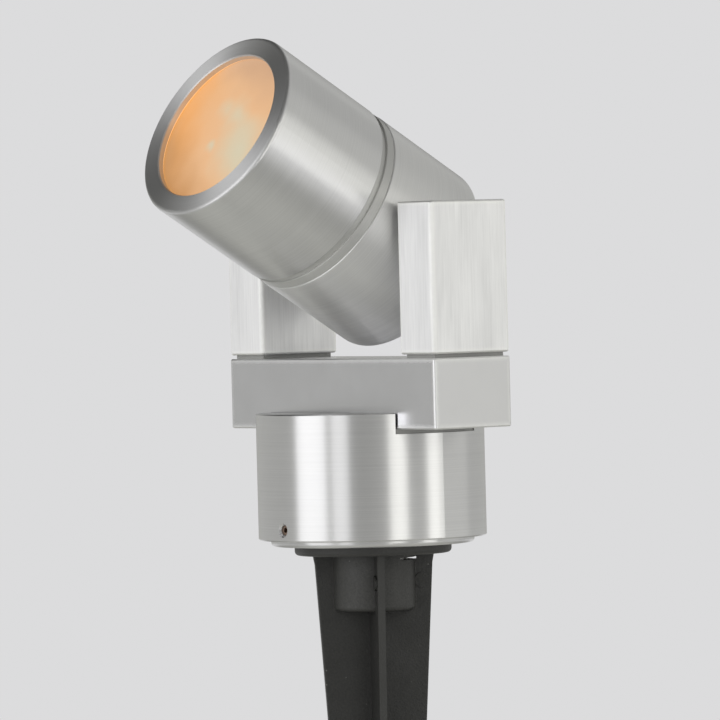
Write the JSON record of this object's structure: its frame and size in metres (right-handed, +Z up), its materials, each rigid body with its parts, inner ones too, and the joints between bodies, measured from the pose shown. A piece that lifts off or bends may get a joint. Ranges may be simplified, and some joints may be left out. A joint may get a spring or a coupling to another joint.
{
  "type": "landscape spotlight",
  "caption": "Garden spotlight: a tilting cylindrical head between two upright arms on a crossbar, over a panning drum base on a ribbed ground spike.",
  "frame": {"origin": "on the spike's axis at the ground line, the underside of the spike's flange", "axes": "+Z up out of the ground, X along the crossbar, head aiming towards -Y and up"},
  "size_m": [0.1004, 0.1068, 0.3881],
  "materials": {
    "satin_aluminium": "fine turned satin",
    "crossbar_aluminium": "smooth satin",
    "brushed_aluminium": "brushed upright",
    "blasted_aluminium": "blasted, matte",
    "spacer_rubber": "matte dark grey",
    "clear_silicone": "clear, lit from behind",
    "black_moulding": "moulded, satin black",
    "stem_metal": "machined",
    "fastener_steel": "plain stainless",
    "lock_screw_steel": "darkened",
    "seal_rubber": "matte",
    "lens": "lightly frosted, lit from behind",
    "lamp_reflector": "faceted mirror",
    "lamp_glass": "clear",
    "lamp_burner": "lit quartz",
    "holder_ceramic": "unglazed",
    "terminal_plastic": "moulded",
    "lead_insulation": "smooth"
  },
  "bodies": {
    "ground": {"spike": "black_moulding", "stem": "stem_metal", "base_plate": "satin_aluminium", "spigot_seal": "seal_rubber", "stem_seal": "seal_rubber", "stem_nut": "fastener_steel"},
    "yoke": {"base_body": "satin_aluminium", "pan_lock_screws": "lock_screw_steel", "crossbar": "crossbar_aluminium", "crossbar_spacer": "spacer_rubber", "crossbar_screws": "fastener_steel", "terminal_block": "terminal_plastic", "terminal_screw": "fastener_steel", "arm_left": "brushed_aluminium", "arm_right": "brushed_aluminium", "arm_spacer_left": "spacer_rubber", "arm_spacer_right": "spacer_rubber", "arm_screws": "fastener_steel", "tilt_lock_screws": "lock_screw_steel", "yoke_lead": "lead_insulation"},
    "head": {"rear_housing": "satin_aluminium", "joint_ring": "blasted_aluminium", "neck_seal": "seal_rubber", "trunnion_left": "satin_aluminium", "trunnion_right": "satin_aluminium", "pivot_seals": "seal_rubber", "lamp_reflector": "lamp_reflector", "lamp_cover": "lamp_glass", "lamp_burner": "lamp_burner", "lamp_pins": "fastener_steel", "lamp_holder": "holder_ceramic", "holder_bracket": "fastener_steel", "holder_screws": "fastener_steel", "head_lead": "lead_insulation"},
    "lens": {"lens_glass": "lens", "lens_gasket": "clear_silicone", "lens_retainer": "fastener_steel"},
    "sleeve": {"front_sleeve": "satin_aluminium"}
  },
  "joints": [
    {"name": "pan", "type": "hinge", "parent": "ground", "child": "yoke", "pos_m": [0, 0, 0.01], "axis": [0, 0, 1], "range_deg": [-175, 175]},
    {"name": "tilt", "type": "hinge", "parent": "yoke", "child": "head", "pos_m": [0, 0, 0.09886], "axis": [-1, 0, 0], "range_deg": [-45, 165]},
    {"name": "lens_travel", "type": "slide", "parent": "head", "child": "lens", "axis": [0, -0.8634, 0.5045], "range_m": [0, 0.0101]},
    {"name": "sleeve_turn", "type": "hinge", "parent": "lens", "child": "sleeve", "pos_m": [0, -0.0259, 0.114], "axis": [0, -0.8634, 0.5045], "range_deg": [0, 1800]}
  ],
  "couplings": [
    {"joint": "lens_travel", "follows": "sleeve_turn", "m_per_rad": 0.00031831}
  ]
}
